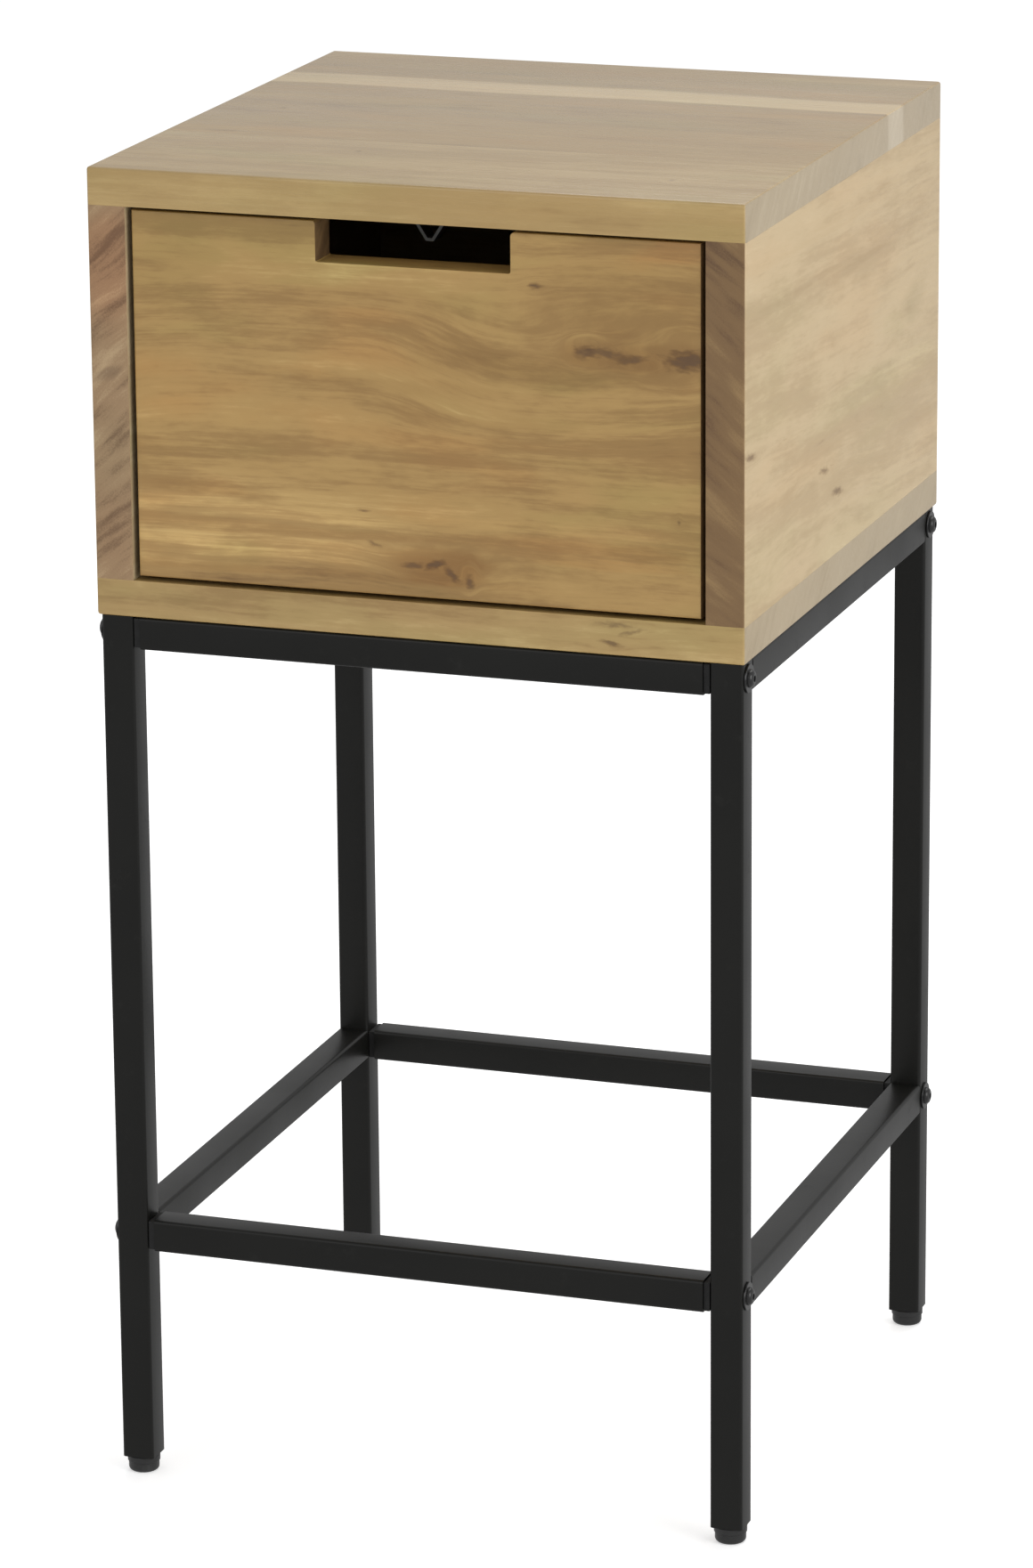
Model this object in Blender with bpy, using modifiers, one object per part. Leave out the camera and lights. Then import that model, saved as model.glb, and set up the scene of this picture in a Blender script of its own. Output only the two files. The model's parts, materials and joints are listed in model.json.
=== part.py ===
"""Side table with drawer: a solid-wood box with one inset drawer on a bolted square-tube frame.

Metres. +Z is up, the front of the table faces -Y, and the origin is on the floor under the
middle of the table. The drawer slides along -Y.
"""

import math

import bmesh
import bpy
from mathutils import Matrix

# Overall size
WIDTH = 0.340            # box, along X
DEPTH = 0.350            # box, along Y
HEIGHT = 0.690           # floor to top
BOX_HEIGHT = 0.228       # underside of the bottom board to top

# Wooden box
FLAT_BOARD = 0.019       # top and bottom board
SIDE_BOARD = 0.020       # side panels
BACK_BOARD = 0.010       # back panel, set between the sides
BOARD_ROUND = 0.0015     # rounding of the box's outer edges

# Drawer front
FRONT_BOARD = 0.020
FRONT_RECESS = 0.0015    # drawer front behind the box's front edges
FRONT_GAP_SIDE = 0.0028
FRONT_GAP_TOP = 0.0017
FRONT_GAP_BOTTOM = 0.0023
FRONT_ROUND = 0.0010
NOTCH_HALF = 0.0505      # finger notch, half its width
NOTCH_DEPTH = 0.0205
NOTCH_CORNER = 0.0012    # radius of its lower corners
NOTCH_FLARE = 0.0020     # radius of its upper corners

# Drawer box
DRAWER_SIDE = 0.012
DRAWER_BACK = 0.012
DRAWER_SLACK = 0.0030    # drawer side to side panel
DRAWER_LIFT = 0.0040     # drawer side above the bottom board
DRAWER_HEADROOM = 0.0060  # drawer side below the top board
DRAWER_REAR_GAP = 0.0040
REBATE_DEPTH = 0.0060    # drawer side let into the back of the front
PLY = 0.0040             # drawer bottom
PLY_RISE = 0.0083        # drawer bottom above the lower edge of the drawer sides
PLY_GROOVE = 0.0043      # depth of the groove that holds it

# Runners, one let into each side panel
RUNNER_HEIGHT = 0.0100
RUNNER_IN = 0.0020       # depth of its groove in the side panel
RUNNER_GROOVE = 0.0050   # depth of the groove in the drawer side
RUNNER_PLAY = 0.0004     # running clearance in that groove
RUNNER_SETBACK = 0.0350  # its front end behind the box's front edge

# Stop strap under the top board: a bent strip, V-shaped
STRAP = 0.0015
STRAP_WIDTH = 0.0100     # along Y
STRAP_SETBACK = 0.0270   # its front edge behind the box's front edge
STRAP_DROP = 0.0135      # its lowest point under the top board
STRAP_TIP = 0.0020       # half the width of the flat tip
STRAP_ARM = math.radians(57.0)
STRAP_FLANGE = 0.0120
STOP_PLAY = 0.0005       # drawer back to strap with the drawer fully out

# Steel frame
TUBE = 0.0170
TUBE_WALL = 0.0012
TUBE_ROUND = 0.0015
FRAME_INSET = 0.0015     # legs behind the faces of the box
LOWER_RAIL_TOP = 0.1410
FOOT_HEIGHT = 0.0090
FOOT_STEM = 0.0140
FOOT_CHAMFER = 0.0015

# Threaded end plug of a cross rail
PLUG_COLLAR = 0.0030     # collar between rail and leg
PLUG_STEP = 0.0010       # collar behind the rail's faces
PLUG_LENGTH = 0.0150

# Cross bolts: M5 button head, and washers
BOLT = 0.0050
BOLT_REACH = 0.0300
BOLT_HEAD = 0.0092
BOLT_HEAD_HEIGHT = 0.0021
HEX_KEY = 0.0030
HEX_DEPTH = 0.0014
WASHER = 0.0145
WASHER_THICK = 0.0008

# Pan-head screws
BOX_SCREW = 0.0040
BOX_SCREW_BITE = 0.0120  # in the bottom board
BOX_SCREW_Y = 0.1000
STRAP_SCREW = 0.0028
STRAP_SCREW_BITE = 0.0090

TOUCH = 0.0003           # gap kept between pieces that touch

# Derived levels and faces
HALF_W = WIDTH / 2
HALF_D = DEPTH / 2
BOX_BOTTOM = HEIGHT - BOX_HEIGHT
BAY_FLOOR = BOX_BOTTOM + FLAT_BOARD
BAY_TOP = HEIGHT - FLAT_BOARD
BAY_HALF = HALF_W - SIDE_BOARD
BACK_FACE = HALF_D - BACK_BOARD
FRONT_FACE = -HALF_D + FRONT_RECESS
FRONT_REAR = FRONT_FACE + FRONT_BOARD
FRONT_HALF = BAY_HALF - FRONT_GAP_SIDE
FRONT_BOTTOM = BAY_FLOOR + FRONT_GAP_BOTTOM
FRONT_TOP = BAY_TOP - FRONT_GAP_TOP
DRAWER_HALF = BAY_HALF - DRAWER_SLACK
DRAWER_REAR = BACK_FACE - DRAWER_REAR_GAP
SIDE_BOTTOM = BAY_FLOOR + DRAWER_LIFT
SIDE_TOP = BAY_TOP - DRAWER_HEADROOM
PLY_BOTTOM = SIDE_BOTTOM + PLY_RISE
RUNNER_Z = (SIDE_BOTTOM + SIDE_TOP) / 2
RUNNER_FRONT = -HALF_D + RUNNER_SETBACK
STRAP_FRONT = -HALF_D + STRAP_SETBACK
LEG_X = HALF_W - FRAME_INSET - TUBE / 2
LEG_Y = HALF_D - FRAME_INSET - TUBE / 2
LEG_TOP = BOX_BOTTOM - TOUCH
UPPER_RAIL_Z = LEG_TOP - TUBE / 2
LOWER_RAIL_Z = LOWER_RAIL_TOP - TUBE / 2
BORE = TUBE - 2 * TUBE_WALL

# How far the drawer slides before its back meets the strap
DRAWER_TRAVEL = (DRAWER_REAR - DRAWER_BACK) - (STRAP_FRONT + STRAP_WIDTH) - STOP_PLAY

COLOURS = {
    "golden_wood": ((0.47, 0.30, 0.14), 0.55, 0.0),
    "pale_wood": ((0.55, 0.42, 0.26), 0.55, 0.0),
    "ply": ((0.50, 0.36, 0.20), 0.65, 0.0),
    "black_steel": ((0.018, 0.018, 0.016), 0.42, 0.0),
    "black_bolt": ((0.020, 0.020, 0.019), 0.30, 1.0),
    "zinc": ((0.55, 0.55, 0.53), 0.35, 1.0),
    "black_plastic": ((0.012, 0.012, 0.012), 0.50, 0.0),
}


def clear_scene():
    for obj in list(bpy.data.objects):
        bpy.data.objects.remove(obj, do_unlink=True)
    for collection in list(bpy.data.collections):
        bpy.data.collections.remove(collection)


def new_collection(name):
    collection = bpy.data.collections.new(name)
    bpy.context.scene.collection.children.link(collection)
    return collection


clear_scene()
PARTS = new_collection("side_table_with_drawer")
CUTTERS = new_collection("cutters")
CUTTERS.hide_render = True


def material(name, look):
    """A Principled material of the piece's own colour, roughness and metallic value."""
    colour, roughness, metallic = COLOURS[look]
    made = bpy.data.materials.new(name)
    made.use_nodes = True
    shader = made.node_tree.nodes["Principled BSDF"]
    shader.inputs["Base Color"].default_value = (*colour, 1.0)
    shader.inputs["Roughness"].default_value = roughness
    shader.inputs["Metallic"].default_value = metallic
    made.diffuse_color = (*colour, 1.0)
    return made


def empty(name, location):
    made = bpy.data.objects.new(name, None)
    made.empty_display_size = 0.05
    made.location = location
    PARTS.objects.link(made)
    return made


TABLE = empty("table", (0, 0, 0))
# On the drawer's line of travel, in the middle of its front
DRAWER = empty("drawer", (0, FRONT_FACE, (FRONT_BOTTOM + FRONT_TOP) / 2))


def place(name, mesh, centre, look, parent=TABLE, rotation=(0, 0, 0)):
    """A new piece at this place, held by its parent empty."""
    obj = bpy.data.objects.new(name, mesh)
    mesh.name = name
    mesh.materials.clear()
    mesh.materials.append(material(name, look))
    PARTS.objects.link(obj)
    obj.parent = parent
    obj.location = [a - b for a, b in zip(centre, parent.location)]
    obj.rotation_euler = rotation
    return obj


def cube_mesh(name, size):
    """A box, centred, with its scale applied."""
    bm = bmesh.new()
    bmesh.ops.create_cube(bm, size=1.0)
    bmesh.ops.scale(bm, vec=size, verts=bm.verts)
    mesh = bpy.data.meshes.new(name)
    bm.to_mesh(mesh)
    bm.free()
    return mesh


def box(name, low, high, look, parent=TABLE):
    """A box between two opposite corners."""
    size = [b - a for a, b in zip(low, high)]
    centre = [(a + b) / 2 for a, b in zip(low, high)]
    return place(name, cube_mesh(name, size), centre, look, parent)


def soften(obj, wanted, width, segments=2):
    """Rounds the edges whose middle and direction the test picks."""
    mesh = obj.data
    weights = mesh.attributes.new("bevel_weight_edge", "FLOAT", "EDGE")
    for edge in mesh.edges:
        a, b = (mesh.vertices[i].co for i in edge.vertices)
        weights.data[edge.index].value = 1.0 if wanted((a + b) / 2, (b - a).normalized()) else 0.0
    bevel = obj.modifiers.new("round", "BEVEL")
    bevel.limit_method = "WEIGHT"
    bevel.width = width
    bevel.segments = segments
    return obj


def as_cutter(obj):
    for collection in list(obj.users_collection):
        collection.objects.unlink(obj)
    CUTTERS.objects.link(obj)
    obj.display_type = "WIRE"
    obj.hide_render = True
    return obj


def block_cutter(name, low, high):
    size = [b - a for a, b in zip(low, high)]
    obj = bpy.data.objects.new(name, cube_mesh(name, size))
    obj.location = [(a + b) / 2 for a, b in zip(low, high)]
    return as_cutter(obj)


def round_cutter(name, radius, depth, centre, rotation=(0, 0, 0), sides=16):
    bm = bmesh.new()
    bmesh.ops.create_cone(
        bm, cap_ends=True, segments=sides, radius1=radius, radius2=radius, depth=depth
    )
    mesh = bpy.data.meshes.new(name)
    bm.to_mesh(mesh)
    bm.free()
    obj = bpy.data.objects.new(name, mesh)
    obj.location = centre
    obj.rotation_euler = rotation
    return as_cutter(obj)


def boolean(obj, other, operation="DIFFERENCE"):
    modifier = obj.modifiers.new(operation.lower(), "BOOLEAN")
    modifier.operation = operation
    modifier.solver = "EXACT"
    modifier.object = other
    return obj


def baked(obj):
    """The object's finished mesh, for pieces that are repeated."""
    bpy.context.view_layer.update()
    graph = bpy.context.evaluated_depsgraph_get()
    mesh = bpy.data.meshes.new_from_object(obj.evaluated_get(graph))
    mesh.name = obj.name
    return mesh


def smooth(mesh, degrees=35.0):
    mesh.shade_smooth()
    mesh.set_sharp_from_angle(angle=math.radians(degrees))


def turned_mesh(name, profile, sides):
    """A piece turned about Z from a profile of (radius, height), top to bottom on its outer side."""
    bm = bmesh.new()
    points = [bm.verts.new((radius, 0.0, height)) for radius, height in profile]
    for a, b in zip(points, points[1:]):
        bm.edges.new((a, b))
    if profile[0][0] > 0:
        bm.edges.new((points[-1], points[0]))
    mesh = bpy.data.meshes.new(name)
    bm.to_mesh(mesh)
    bm.free()
    obj = bpy.data.objects.new(name, mesh)
    CUTTERS.objects.link(obj)
    screw = obj.modifiers.new("turn", "SCREW")
    screw.steps = sides
    screw.render_steps = sides
    screw.use_merge_vertices = True
    screw.merge_threshold = 0.00002
    made = baked(obj)
    bpy.data.objects.remove(obj, do_unlink=True)
    bm = bmesh.new()
    bm.from_mesh(made)
    bmesh.ops.remove_doubles(bm, verts=bm.verts, dist=0.000002)
    bm.to_mesh(made)
    bm.free()
    made.name = name
    smooth(made)
    return made


def arc(centre, radius, start, end, steps):
    """Points on a circle from one angle to another, in degrees."""
    for i in range(steps + 1):
        angle = math.radians(start + (end - start) * i / steps)
        yield centre[0] + radius * math.cos(angle), centre[1] + radius * math.sin(angle)


def plate_mesh(name, outline, thickness):
    """A flat outline in X and Z, given its thickness along Y, centred on y = 0."""
    curve = bpy.data.curves.new(name, "CURVE")
    curve.dimensions = "2D"
    curve.fill_mode = "BOTH"
    curve.extrude = thickness / 2
    spline = curve.splines.new("POLY")
    spline.points.add(len(outline) - 1)
    for point, (x, z) in zip(spline.points, outline):
        point.co = (x, z, 0.0, 1.0)
    spline.use_cyclic_u = True
    obj = bpy.data.objects.new(name, curve)
    CUTTERS.objects.link(obj)
    mesh = baked(obj)
    bpy.data.objects.remove(obj, do_unlink=True)
    bm = bmesh.new()
    bm.from_mesh(mesh)
    bmesh.ops.remove_doubles(bm, verts=bm.verts, dist=0.00001)
    for vert in bm.verts:
        x, up, out = vert.co
        vert.co = (x, -out, up)
    bmesh.ops.dissolve_limit(bm, angle_limit=0.001, verts=bm.verts, edges=bm.edges)
    bmesh.ops.recalc_face_normals(bm, faces=bm.faces)
    if bm.calc_volume(signed=True) < 0:
        bmesh.ops.reverse_faces(bm, faces=bm.faces)
    bm.to_mesh(mesh)
    bm.free()
    mesh.name = name
    return mesh


# ---------------------------------------------------------------- wooden box

def outer_top(mid, along):
    """The four upright corners of the top board and the rim of its upper face."""
    return abs(along.z) > 0.9 or mid.z > 0


def outer_bottom(mid, along):
    return abs(along.z) > 0.9 or mid.z < 0


top_board = box(
    "top_board", (-HALF_W, -HALF_D, BAY_TOP), (HALF_W, HALF_D, HEIGHT), "golden_wood"
)
soften(top_board, outer_top, BOARD_ROUND)
bottom_board = box(
    "bottom_board", (-HALF_W, -HALF_D, BOX_BOTTOM), (HALF_W, HALF_D, BAY_FLOOR), "golden_wood"
)
soften(bottom_board, outer_bottom, BOARD_ROUND)

groove_half = RUNNER_HEIGHT / 2 + TOUCH
for side, name in ((-1, "left"), (1, "right")):
    inner, outer = sorted((side * BAY_HALF, side * HALF_W))
    panel = box(
        f"side_panel_{name}",
        (inner, -HALF_D, BAY_FLOOR + TOUCH),
        (outer, HALF_D, BAY_TOP - TOUCH),
        "pale_wood",
    )
    soften(panel, lambda mid, along, s=side: abs(along.z) > 0.9 and mid.x * s > 0, BOARD_ROUND)
    low, high = sorted((side * (BAY_HALF - 0.001), side * (BAY_HALF + RUNNER_IN)))
    groove = block_cutter(
        f"runner_seat_{name}",
        (low, RUNNER_FRONT - TOUCH, RUNNER_Z - groove_half),
        (high, DRAWER_REAR + TOUCH, RUNNER_Z + groove_half),
    )
    boolean(panel, groove)
    low, high = sorted(
        (
            side * (DRAWER_HALF - RUNNER_GROOVE + RUNNER_PLAY),
            side * (BAY_HALF + RUNNER_IN - TOUCH),
        )
    )
    box(
        f"runner_{name}",
        (low, RUNNER_FRONT, RUNNER_Z - RUNNER_HEIGHT / 2),
        (high, DRAWER_REAR, RUNNER_Z + RUNNER_HEIGHT / 2),
        "pale_wood",
    )

box(
    "back_panel",
    (-BAY_HALF + TOUCH, BACK_FACE, BAY_FLOOR + TOUCH),
    (BAY_HALF - TOUCH, HALF_D, BAY_TOP - TOUCH),
    "ply",
)

# ---------------------------------------------------------------- stop strap

arm_rise = STRAP_DROP - STRAP
arm_run = arm_rise / math.tan(STRAP_ARM)
# Mitre at each bend, so that the strip keeps its thickness round the V
mitre = STRAP * math.tan(STRAP_ARM / 2)
knee = STRAP_TIP + arm_run
end = knee + STRAP_FLANGE
strap_lower = [(STRAP_TIP, -STRAP_DROP), (knee, -STRAP), (end, -STRAP)]
strap_upper = [(end, 0.0), (knee - mitre, 0.0), (STRAP_TIP - mitre, -arm_rise)]
strap_half = strap_lower + strap_upper
strap_outline = strap_half + [(-x, z) for x, z in strap_half[::-1]]
strap = place(
    "stop_strap",
    plate_mesh("stop_strap", strap_outline, STRAP_WIDTH),
    (0, STRAP_FRONT + STRAP_WIDTH / 2, BAY_TOP - TOUCH),
    "zinc",
)
strap.modifiers.new("triangles", "TRIANGULATE")
strap_hole_x = knee + STRAP_FLANGE / 2
screw_profile = [
    (0.0, STRAP_SCREW_BITE + STRAP + 2 * TOUCH),
    (STRAP_SCREW / 2 - 0.0008, STRAP_SCREW_BITE + STRAP + 2 * TOUCH - 0.0012),
    (STRAP_SCREW / 2, STRAP_SCREW_BITE + STRAP - 0.0020),
    (STRAP_SCREW / 2, 0.0),
    (STRAP_SCREW, 0.0),
    (STRAP_SCREW, -0.0009),
    (STRAP_SCREW - 0.0008, -0.0016),
    (0.0, -0.0018),
]
strap_screw_mesh = turned_mesh("stop_screw", screw_profile, 16)
strap_y = STRAP_FRONT + STRAP_WIDTH / 2
for side, name in ((-1, "left"), (1, "right")):
    x = side * strap_hole_x
    boolean(
        strap,
        round_cutter(
            f"stop_hole_{name}", STRAP_SCREW / 2 + TOUCH, 0.010, (x, strap_y, BAY_TOP - 0.001)
        ),
    )
    boolean(
        top_board,
        round_cutter(
            f"stop_bore_{name}",
            STRAP_SCREW / 2 + TOUCH,
            2 * (STRAP_SCREW_BITE + 2 * TOUCH),
            (x, strap_y, BAY_TOP),
        ),
    )
    place(
        f"stop_screw_{name}",
        strap_screw_mesh.copy(),
        (x, strap_y, BAY_TOP - 2 * TOUCH - STRAP),
        "zinc",
    )

# ---------------------------------------------------------------- drawer

front = box(
    "drawer_front",
    (-FRONT_HALF, FRONT_FACE, FRONT_BOTTOM),
    (FRONT_HALF, FRONT_REAR, FRONT_TOP),
    "golden_wood",
    DRAWER,
)
soften(front, lambda mid, along: mid.y < 0 and abs(along.y) < 0.1, FRONT_ROUND)

# Finger notch: rounded lower corners, and upper corners eased outwards
notch_floor = FRONT_TOP - NOTCH_DEPTH
notch_half = list(
    arc((NOTCH_HALF - NOTCH_CORNER, notch_floor + NOTCH_CORNER), NOTCH_CORNER, 270, 360, 4)
)
notch_half += list(
    arc((NOTCH_HALF + NOTCH_FLARE, FRONT_TOP - NOTCH_FLARE), NOTCH_FLARE, 180, 100, 3)
)
notch_half += [(notch_half[-1][0], FRONT_TOP + NOTCH_FLARE)]
notch_outline = notch_half + [(-x, z) for x, z in notch_half[::-1]]
notch = bpy.data.objects.new(
    "finger_notch", plate_mesh("finger_notch", notch_outline, 2 * FRONT_BOARD)
)
notch.location = (0, (FRONT_FACE + FRONT_REAR) / 2, 0)
notch.modifiers.new("triangles", "TRIANGULATE")
boolean(front, as_cutter(notch))

side_front = FRONT_REAR - REBATE_DEPTH + TOUCH
side_inner = DRAWER_HALF - DRAWER_SIDE
for side, name in ((-1, "left"), (1, "right")):
    low, high = sorted((side * (side_inner - TOUCH), side * (FRONT_HALF + 0.002)))
    boolean(
        front,
        block_cutter(
            f"rebate_{name}",
            (low, FRONT_REAR - REBATE_DEPTH, SIDE_BOTTOM - 0.010),
            (high, FRONT_REAR + 0.002, FRONT_TOP + 0.010),
        ),
    )
    low, high = sorted((side * side_inner, side * DRAWER_HALF))
    drawer_side = box(
        f"drawer_side_{name}",
        (low, side_front, SIDE_BOTTOM),
        (high, DRAWER_REAR, SIDE_TOP),
        "pale_wood",
        DRAWER,
    )
    low, high = sorted((side * (DRAWER_HALF - RUNNER_GROOVE), side * (DRAWER_HALF + 0.001)))
    slot = RUNNER_HEIGHT / 2 + RUNNER_PLAY
    boolean(
        drawer_side,
        block_cutter(
            f"runner_groove_{name}",
            (low, RUNNER_FRONT - 2 * RUNNER_PLAY, RUNNER_Z - slot),
            (high, DRAWER_REAR + 0.002, RUNNER_Z + slot),
        ),
    )
    low, high = sorted((side * (side_inner - 0.001), side * (side_inner + PLY_GROOVE)))
    boolean(
        drawer_side,
        block_cutter(
            f"ply_groove_{name}",
            (low, side_front - 0.002, PLY_BOTTOM - TOUCH),
            (high, DRAWER_REAR + 0.002, PLY_BOTTOM + PLY + TOUCH),
        ),
    )

boolean(
    front,
    block_cutter(
        "ply_groove_front",
        (-side_inner - PLY_GROOVE, FRONT_REAR - PLY_GROOVE, PLY_BOTTOM - TOUCH),
        (side_inner + PLY_GROOVE, FRONT_REAR + 0.002, PLY_BOTTOM + PLY + TOUCH),
    ),
)
box(
    "drawer_bottom",
    (-side_inner - PLY_GROOVE + TOUCH, FRONT_REAR - PLY_GROOVE + TOUCH, PLY_BOTTOM),
    (side_inner + PLY_GROOVE - TOUCH, DRAWER_REAR, PLY_BOTTOM + PLY),
    "ply",
    DRAWER,
)
box(
    "drawer_back",
    (-side_inner + TOUCH, DRAWER_REAR - DRAWER_BACK, PLY_BOTTOM + PLY + TOUCH),
    (side_inner - TOUCH, DRAWER_REAR, SIDE_TOP),
    "pale_wood",
    DRAWER,
)

# ---------------------------------------------------------------- steel frame


def tube_object(name, length):
    """A square tube along Z, open at both ends."""
    obj = bpy.data.objects.new(name, cube_mesh(name, (TUBE, TUBE, length)))
    CUTTERS.objects.link(obj)
    soften(obj, lambda mid, along: abs(along.z) > 0.9, TUBE_ROUND)
    wide = BORE / 2
    long = length / 2 + 0.001
    boolean(obj, block_cutter(name + "_bore", (-wide, -wide, -long), (wide, wide, long)))
    return obj


def finished(obj):
    """Bakes the piece and takes away its makings."""
    mesh = baked(obj)
    helpers = [m.object for m in obj.modifiers if m.type == "BOOLEAN"]
    bpy.data.objects.remove(obj, do_unlink=True)
    for helper in helpers:
        bpy.data.objects.remove(helper, do_unlink=True)
    return mesh


ALONG_X = (0, math.radians(90), 0)
ALONG_Y = (math.radians(90), 0, 0)
CORNERS = [(x, y) for y in (-1, 1) for x in (-1, 1)]


def corner_name(x, y):
    return ("front" if y < 0 else "back") + "_" + ("left" if x < 0 else "right")


leg_length = LEG_TOP - FOOT_HEIGHT
leg_middle = (LEG_TOP + FOOT_HEIGHT) / 2
leg = tube_object("leg", leg_length)
for level, z in (("upper", UPPER_RAIL_Z), ("lower", LOWER_RAIL_Z)):
    centre = (0, 0, z - leg_middle)
    boolean(leg, round_cutter(f"leg_hole_{level}", BOLT / 2 + TOUCH, 2 * TUBE, centre, ALONG_X))
leg_mesh = finished(leg)
for x, y in CORNERS:
    place(
        "leg_" + corner_name(x, y),
        leg_mesh.copy(),
        (x * LEG_X, y * LEG_Y, leg_middle),
        "black_steel",
    )

side_rail_length = 2 * (LEG_Y - TUBE / 2 - TOUCH)
lower_side_rail = finished(tube_object("side_rail", side_rail_length))
drilled_rail = tube_object("upper_side_rail", side_rail_length)
for y in (-BOX_SCREW_Y, BOX_SCREW_Y):
    # The rail lies along Y, so its own Z runs towards -Y and its own Y runs up
    boolean(
        drilled_rail,
        round_cutter("rail_hole", BOX_SCREW / 2 + TOUCH, 2 * TUBE, (0, 0, y), ALONG_Y),
    )
upper_side_rail = finished(drilled_rail)
cross_rail_length = 2 * (LEG_X - TUBE / 2 - PLUG_COLLAR - 2 * TOUCH)
cross_rail = finished(tube_object("cross_rail", cross_rail_length))

for x, name in ((-1, "left"), (1, "right")):
    place(
        f"upper_side_rail_{name}",
        upper_side_rail.copy(),
        (x * LEG_X, 0, UPPER_RAIL_Z),
        "black_steel",
        rotation=ALONG_Y,
    )
    place(
        f"lower_side_rail_{name}",
        lower_side_rail.copy(),
        (x * LEG_X, 0, LOWER_RAIL_Z),
        "black_steel",
        rotation=ALONG_Y,
    )

# Threaded end plug, along Z with its collar's face at z = 0
plug_size = BORE - 2 * TOUCH
collar_size = TUBE - 2 * PLUG_STEP
plug = bpy.data.objects.new("plug", cube_mesh("plug", (collar_size, collar_size, PLUG_COLLAR)))
plug.data.transform(Matrix.Translation((0, 0, -PLUG_COLLAR / 2)))
CUTTERS.objects.link(plug)
plug_depth = PLUG_COLLAR + PLUG_LENGTH
plug_half = plug_size / 2
shank = block_cutter(
    "plug_shank", (-plug_half, -plug_half, -plug_depth), (plug_half, plug_half, -PLUG_COLLAR / 2)
)
boolean(plug, shank, "UNION")
boolean(plug, round_cutter("plug_bore", BOLT / 2 + TOUCH, 2 * plug_depth + 0.01, (0, 0, 0)))
plug_mesh = finished(plug)

# Washer and bolt, along Z with the leg's outer face at z = 0 and the head above it
washer_mesh = turned_mesh(
    "washer",
    [
        (WASHER / 2, TOUCH + WASHER_THICK),
        (WASHER / 2, TOUCH),
        (BOLT / 2 + TOUCH, TOUCH),
        (BOLT / 2 + TOUCH, TOUCH + WASHER_THICK),
    ],
    24,
)
head_base = 2 * TOUCH + WASHER_THICK
head_top = head_base + BOLT_HEAD_HEIGHT
shank_end = head_base - BOLT_REACH
crown = BOLT_HEAD / 2
bolt_profile = [(0.0, head_top), (crown * 0.52, head_top)]
bolt_profile += [(crown * 0.84, head_base + BOLT_HEAD_HEIGHT * 0.62)]
bolt_profile += [(crown, head_base + BOLT_HEAD_HEIGHT * 0.22), (crown, head_base)]
bolt_profile += [(BOLT / 2, head_base), (BOLT / 2, shank_end + 0.0006)]
bolt_profile += [(BOLT / 2 - 0.0006, shank_end), (0.0, shank_end)]
bolt = bpy.data.objects.new("bolt", turned_mesh("bolt", bolt_profile, 20))
CUTTERS.objects.link(bolt)
hex_radius = HEX_KEY / 2 / math.cos(math.radians(30))
boolean(bolt, round_cutter("hex", hex_radius, 2 * HEX_DEPTH, (0, 0, head_top), sides=6))
bolt_mesh = finished(bolt)
smooth(bolt_mesh)

LEVELS = (("upper", UPPER_RAIL_Z), ("lower", LOWER_RAIL_Z))
for level, z in LEVELS:
    for y, row in ((-1, "front"), (1, "back")):
        place(
            f"{level}_cross_rail_{row}",
            cross_rail.copy(),
            (0, y * LEG_Y, z),
            "black_steel",
            rotation=ALONG_X,
        )
    for x, y in CORNERS:
        where = f"{level}_{corner_name(x, y)}"
        outward = (0, math.radians(90) * x, 0)
        leg_face = x * (LEG_X + TUBE / 2)
        plug_face = x * (LEG_X - TUBE / 2 - TOUCH)
        place(
            "cross_insert_" + where,
            plug_mesh.copy(),
            (plug_face, y * LEG_Y, z),
            "black_plastic",
            rotation=outward,
        )
        for name, mesh in (("cross_washer_", washer_mesh), ("cross_bolt_", bolt_mesh)):
            place(
                name + where,
                mesh.copy(),
                (leg_face, y * LEG_Y, z),
                "black_bolt",
                rotation=outward,
            )

# ---------------------------------------------------------------- feet and box screws

foot_radius = TUBE / 2
stem_radius = BORE / 2 - TOUCH
collar = FOOT_HEIGHT - TOUCH
foot_profile = [
    (0.0, FOOT_HEIGHT + FOOT_STEM),
    (stem_radius - 0.001, FOOT_HEIGHT + FOOT_STEM),
    (stem_radius, FOOT_HEIGHT + FOOT_STEM - 0.001),
    (stem_radius, collar),
    (foot_radius, collar),
    (foot_radius, FOOT_CHAMFER),
    (foot_radius - 0.3 * FOOT_CHAMFER, 0.3 * FOOT_CHAMFER),
    (foot_radius - FOOT_CHAMFER, 0.0),
    (0.0, 0.0),
]
foot_mesh = turned_mesh("foot", foot_profile, 24)
for x, y in CORNERS:
    place(
        "foot_" + corner_name(x, y),
        foot_mesh.copy(),
        (x * LEG_X, y * LEG_Y, 0),
        "black_plastic",
    )

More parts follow.
